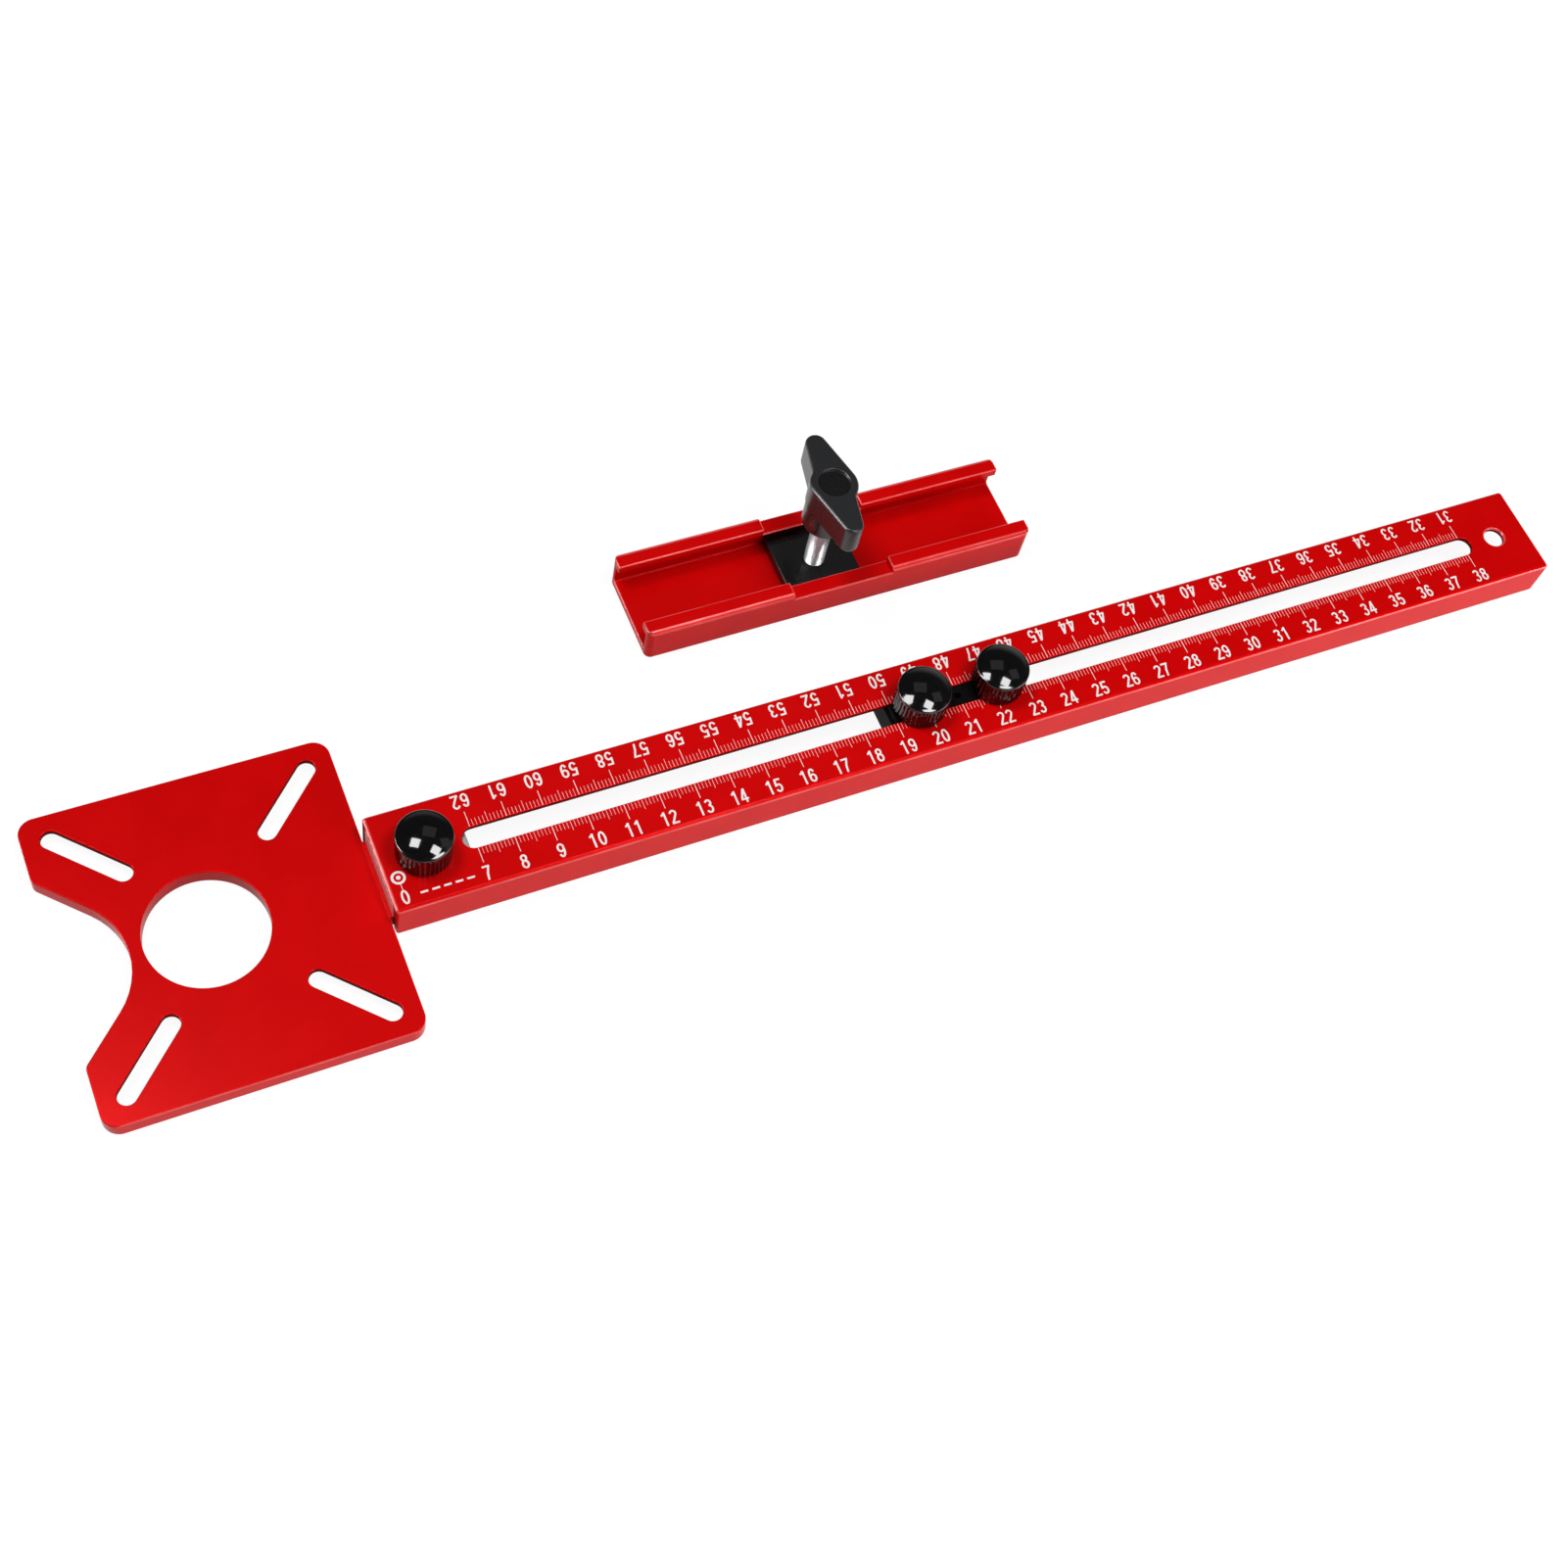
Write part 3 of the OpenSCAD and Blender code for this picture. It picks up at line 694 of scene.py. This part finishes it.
# Wing screw: a wing knob of dark satin plastic moulded on a threaded steel stud. A round collar carries
# two wings, each hollowed on one side for a finger, and the stud's turned end shows in the top's recess.
WING_PLAN_DROP = 4 * MM
WING_T = 10 * MM
WING_TOP_EDGE = 0.85 * MM
WING_UNDER_EDGE = 1.3 * MM
COLLAR_R = 6.5 * MM
COLLAR_FOOT = 0.6 * MM
COLLAR_SINK = 1.5 * MM
COLLAR_STEPS = 96
RECESS_R = 4.5 * MM
RECESS_LIP = 0.35 * MM
RECESS_DEPTH = 1 * MM
END_FACE_R = 4.3 * MM
END_FACE_T = 0.4 * MM
END_RING = 0.3 * MM
END_RING_DEPTH = 0.035 * MM
WING_STUD_PITCH = 1 * MM
WING_DARK = (0.011, 0.0115, 0.0125, 1)
WING_LIGHT = (0.016, 0.0165, 0.018, 1)
WING_ROUGH = (0.26, 0.34)
WING_GRAIN = 0.4 * MM
WING_GRAIN_H = 0.012 * MM
WING_GRAIN_BUMP = 0.4
DARK_STEEL = (0.035, 0.035, 0.038, 1)
DARK_STEEL_RUBBED = (0.06, 0.06, 0.065, 1)
DARK_STEEL_ROUGH = 0.2
TURNED_ROUND = (1, 1, 1)

wing_low, wing_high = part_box("wing_knob")
wing_stud_low, wing_stud_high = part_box("wing_stud")
wing_axis = (wing_stud_low + wing_stud_high) / 2
wing_stud_r = (wing_stud_high.x - wing_stud_low.x) / 2
wing_under = wing_high.z - WING_T


def at_wing_axis(bm):
    """Moves a shape that was turned about Z to the wing screw's axis."""
    bmesh.ops.translate(bm, verts=bm.verts, vec=(wing_axis.x, wing_axis.y, 0))
    return bm


plan_bm = cad_copy("wing_knob")
plan_cut = bmesh.ops.bisect_plane(
    plan_bm, geom=plan_bm.verts[:] + plan_bm.edges[:] + plan_bm.faces[:], dist=SEAM,
    plane_co=(0, 0, wing_high.z - WING_PLAN_DROP), plane_no=(0, 0, 1), clear_inner=True, clear_outer=True,
)
plan_rim = [e for e in plan_cut["geom_cut"] if isinstance(e, bmesh.types.BMEdge)]
plan_face = bmesh.ops.contextual_create(plan_bm, geom=plan_rim)["faces"]
for v in plan_bm.verts:
    v.co.z = wing_under
raised = bmesh.ops.extrude_face_region(plan_bm, geom=plan_face, use_keep_orig=True)["geom"]
raised_verts = [v for v in raised if isinstance(v, bmesh.types.BMVert)]
bmesh.ops.translate(plan_bm, verts=raised_verts, vec=(0, 0, WING_T))
bmesh.ops.recalc_face_normals(plan_bm, faces=plan_bm.faces)
for height, radius in ((wing_high.z, WING_TOP_EDGE), (wing_under, WING_UNDER_EDGE)):
    rim = [e for e in plan_bm.edges if all(abs(v.co.z - height) < NEAR for v in e.verts)]
    round_off(plan_bm, rim, radius, 5)
wings = new_object(plan_bm, "wings")

collar = new_object(at_wing_axis(turned(
    [
        (0, wing_low.z), (COLLAR_R - COLLAR_FOOT, wing_low.z),
        *arc(COLLAR_R - COLLAR_FOOT, wing_low.z + COLLAR_FOOT, COLLAR_FOOT, -90, 0, 4),
        (COLLAR_R, wing_under + COLLAR_SINK), (0, wing_under + COLLAR_SINK),
    ],
    COLLAR_STEPS,
)), "collar")
recess = new_object(at_wing_axis(turned(
    [
        (0, wing_high.z - RECESS_DEPTH), (RECESS_R, wing_high.z - RECESS_DEPTH),
        *arc(RECESS_R + RECESS_LIP, wing_high.z - RECESS_LIP, RECESS_LIP, 180, 90, 4),
        (RECESS_R + RECESS_LIP, wing_high.z + RECESS_DEPTH), (0, wing_high.z + RECESS_DEPTH),
    ],
    COLLAR_STEPS,
)), "recess")
for tool, operation in ((collar, "UNION"), (recess, "DIFFERENCE")):
    joined = wings.modifiers.new(tool.name, "BOOLEAN")
    joined.object = tool
    joined.operation = operation
    joined.solver = "EXACT"
bpy.context.view_layer.update()
wing_mesh = bpy.data.meshes.new_from_object(wings.evaluated_get(bpy.context.evaluated_depsgraph_get()))
wing_bm = bmesh.new()
wing_bm.from_mesh(wing_mesh)
bpy.data.meshes.remove(wing_mesh)
for tool in (wings, collar, recess):
    bpy.data.meshes.remove(tool.data)

wing_plastic, wing_tree, wing_shader = new_material("Dark satin plastic", metallic=0, specular=0.5)
wing_grain = noise(wing_tree, WING_GRAIN, 3)
tint(wing_tree, wing_grain, WING_DARK, WING_LIGHT, wing_shader.inputs["Base Color"])
spread(wing_tree, wing_grain, *WING_ROUGH, wing_shader.inputs["Roughness"])
emboss(wing_tree, wing_grain, WING_GRAIN_H, WING_GRAIN_BUMP, wing_shader)
wing = new_piece(wing_bm, "wing_knob_finished", wing_plastic)
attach(wing, "wing_screw")
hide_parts("wing_knob")

end_top = wing_high.z - RECESS_DEPTH + END_FACE_T
rings = int(END_FACE_R / END_RING)
end_face = [(i * END_RING, end_top - (i % 2) * END_RING_DEPTH) for i in range(rings + 1)]
end_under = end_top - END_FACE_T
end_bm = at_wing_axis(turned(
    [*end_face, (END_FACE_R, end_top), (END_FACE_R, end_under), (0, end_under)], COLLAR_STEPS
))
dark_steel = bare_metal(
    "Blackened steel, turned", DARK_STEEL, DARK_STEEL_RUBBED, DARK_STEEL_ROUGH, TURNED_ROUND
)
stud_end = new_piece(end_bm, "wing_stud_end", dark_steel)
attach(stud_end, "wing_screw")

wing_stud_bm = at_wing_axis(threaded(wing_stud_r, WING_STUD_PITCH, wing_stud_low.z, wing_stud_high.z))
wing_stud = new_piece(wing_stud_bm, "wing_stud_finished", bright_steel)
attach(wing_stud, "wing_screw")
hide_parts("wing_stud")

# Studio: a white floor that keeps a faint shadow, pale walls under a dark ceiling, softboxes overhead, in
# front and at the right, two lights at the left that show only as gleams, and the camera where the
# photograph was taken from.
FLOOR_SIZE = 8
FLOOR_Z = -0.05 * MM
FLOOR_GREY = 0.1
FLOOR_GLOW = 0.93
FLOOR_BOUNCE = 0.7
WALL_GREY = 0.7
CEILING_GREY = 0.05
WALL_TOP = math.sin(math.radians(8))
CEILING_FROM = math.sin(math.radians(26))
AIM = Vector((157.26, -5.12, 0)) * MM
CAMERA_PLACE = Vector((-30.67, -250.11, 530.93)) * MM
CAMERA_ROLL = math.radians(16.86)
CAMERA_LENS = 51.69
CAMERA_NEAR = 10 * MM
SOFTBOXES = {
    "Left overhead": {"towards": (-0.29, 0.21, 0.93), "away": 1.2, "size": (0.33, 0.33), "glow": 16},
    "Right overhead": {"towards": (0.22, -0.20, 0.95), "away": 1.2, "size": (0.33, 0.33), "glow": 16},
    "Far right": {"towards": (0.57, 0.0, 0.82), "away": 1.2, "size": (0.35, 0.35), "glow": 0.35},
    "Far back": {"towards": (0.21, 0.43, 0.88), "away": 1.2, "size": (0.45, 0.45), "glow": 0.3},
    "Front": {"towards": (0.26, -0.83, 0.5), "away": 1.2, "size": (0.35, 0.14), "glow": 14},
    "Low front": {"towards": (0.60, -0.77, 0.20), "away": 1.2, "size": (0.5, 0.2), "glow": 5},
    "Near right": {"towards": (0.80, -0.59, 0.08), "away": 0.7, "size": (0.3, 0.1), "glow": 14},
    "Left": {"towards": (-0.88, 0.40, 0.22), "away": 1.2, "size": (0.5, 0.3), "glow": 20},
    "High left": {"towards": (-0.80, 0.19, 0.56), "away": 1.2, "size": (0.3, 0.3), "glow": 40},
}
GLEAM_LIGHTS = ["Left", "High left"]

floor_bm = bmesh.new()
bmesh.ops.create_grid(floor_bm, x_segments=1, y_segments=1, size=FLOOR_SIZE / 2)
bmesh.ops.translate(floor_bm, verts=floor_bm.verts, vec=(AIM.x, AIM.y, FLOOR_Z))
floor = new_object(floor_bm, "floor")


def seen_directly(tree):
    """1 where the camera, a reflection or glass looks at this, and 0 where it only lights the object."""
    path = tree.nodes.new("ShaderNodeLightPath")
    total = path.outputs["Is Camera Ray"]
    for kind in ("Is Glossy Ray", "Is Transmission Ray"):
        most = tree.nodes.new("ShaderNodeMath")
        most.operation = "MAXIMUM"
        tree.links.new(total, most.inputs[0])
        tree.links.new(path.outputs[kind], most.inputs[1])
        total = most.outputs[0]
    return total


floor_material = bpy.data.materials.new("White floor")
floor_material.use_nodes = True
floor_tree = floor_material.node_tree
floor_tree.nodes.clear()
floor_out = floor_tree.nodes.new("ShaderNodeOutputMaterial")
floor_mix = floor_tree.nodes.new("ShaderNodeMixShader")
floor_sum = floor_tree.nodes.new("ShaderNodeAddShader")
floor_bounce = floor_tree.nodes.new("ShaderNodeBsdfDiffuse")
floor_bounce.inputs["Color"].default_value = (FLOOR_BOUNCE, FLOOR_BOUNCE, FLOOR_BOUNCE, 1)
floor_shade = floor_tree.nodes.new("ShaderNodeBsdfDiffuse")
floor_shade.inputs["Color"].default_value = (FLOOR_GREY, FLOOR_GREY, FLOOR_GREY, 1)
floor_glow = floor_tree.nodes.new("ShaderNodeEmission")
floor_glow.inputs["Strength"].default_value = FLOOR_GLOW
floor_tree.links.new(floor_shade.outputs[0], floor_sum.inputs[0])
floor_tree.links.new(floor_glow.outputs[0], floor_sum.inputs[1])
floor_tree.links.new(seen_directly(floor_tree), floor_mix.inputs[0])
floor_tree.links.new(floor_bounce.outputs[0], floor_mix.inputs[1])
floor_tree.links.new(floor_sum.outputs[0], floor_mix.inputs[2])
floor_tree.links.new(floor_mix.outputs[0], floor_out.inputs["Surface"])
floor.data.materials.append(floor_material)

world = bpy.data.worlds.new("Studio")
bpy.context.scene.world = world
world.use_nodes = True
world_tree = world.node_tree
room = world_tree.nodes["Background"]
room.inputs["Color"].default_value = (1, 1, 1, 1)
room_place = world_tree.nodes.new("ShaderNodeTexCoord")
room_height = world_tree.nodes.new("ShaderNodeSeparateXYZ")
room_fade = world_tree.nodes.new("ShaderNodeMapRange")
room_fade.inputs["From Min"].default_value = WALL_TOP
room_fade.inputs["From Max"].default_value = CEILING_FROM
room_fade.inputs["To Min"].default_value = WALL_GREY
room_fade.inputs["To Max"].default_value = CEILING_GREY
world_tree.links.new(room_place.outputs["Generated"], room_height.inputs["Vector"])
world_tree.links.new(room_height.outputs["Z"], room_fade.inputs["Value"])
world_tree.links.new(room_fade.outputs["Result"], room.inputs["Strength"])

for name, box in SOFTBOXES.items():
    light = bpy.data.lights.new(name, "AREA")
    light.shape = "RECTANGLE"
    light.size, light.size_y = box["size"]
    light.energy = box["glow"] * math.pi * light.size * light.size_y
    lamp = bpy.data.objects.new(name, light)
    towards = Vector(box["towards"]).normalized()
    lamp.location = AIM + towards * box["away"]
    lamp.rotation_euler = towards.to_track_quat("Z", "Y").to_euler()
    lamp.visible_diffuse = name not in GLEAM_LIGHTS
    bpy.context.scene.collection.objects.link(lamp)

camera_data = bpy.data.cameras.new("Camera")
camera_data.lens = CAMERA_LENS
camera_data.clip_start = CAMERA_NEAR
camera = bpy.data.objects.new("Camera", camera_data)
aimed = (AIM - CAMERA_PLACE).to_track_quat("-Z", "Y").to_matrix()
rolled = aimed @ Matrix.Rotation(CAMERA_ROLL, 3, "Z")
camera.matrix_world = Matrix.Translation(CAMERA_PLACE) @ rolled.to_4x4()
bpy.context.scene.collection.objects.link(camera)
bpy.context.scene.camera = camera
bpy.context.scene.view_settings.view_transform = "Standard"
